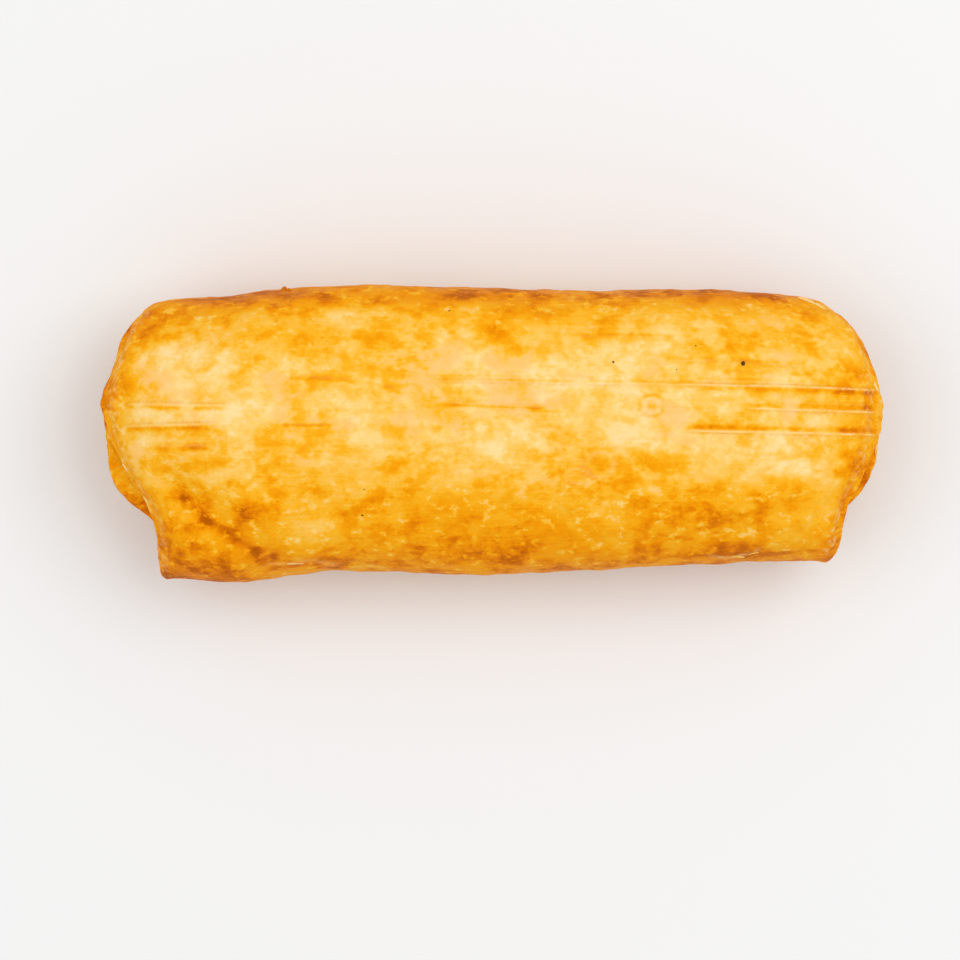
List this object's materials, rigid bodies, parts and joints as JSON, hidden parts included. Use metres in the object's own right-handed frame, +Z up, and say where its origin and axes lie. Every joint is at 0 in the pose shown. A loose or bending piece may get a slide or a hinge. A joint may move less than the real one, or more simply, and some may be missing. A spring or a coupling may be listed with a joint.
{
  "type": "burrito",
  "caption": "Fried burrito: a flour tortilla rolled round its filling, both ends folded in, lying seam side down.",
  "frame": {"origin": "centre of the roll's plan at the height of the surface it lies on", "axes": "+X along the roll, +Y to its back, +Z up; the flap's free edge is underneath and opens towards the back"},
  "size_m": [0.2295, 0.0878, 0.0567],
  "materials": {
    "fried_tortilla": "fried flour tortilla: golden, mottled cream and brown, blistered, faintly oily"
  },
  "bodies": {
    "root": {"rolled_tortilla": "fried_tortilla"}
  },
  "joints": []
}
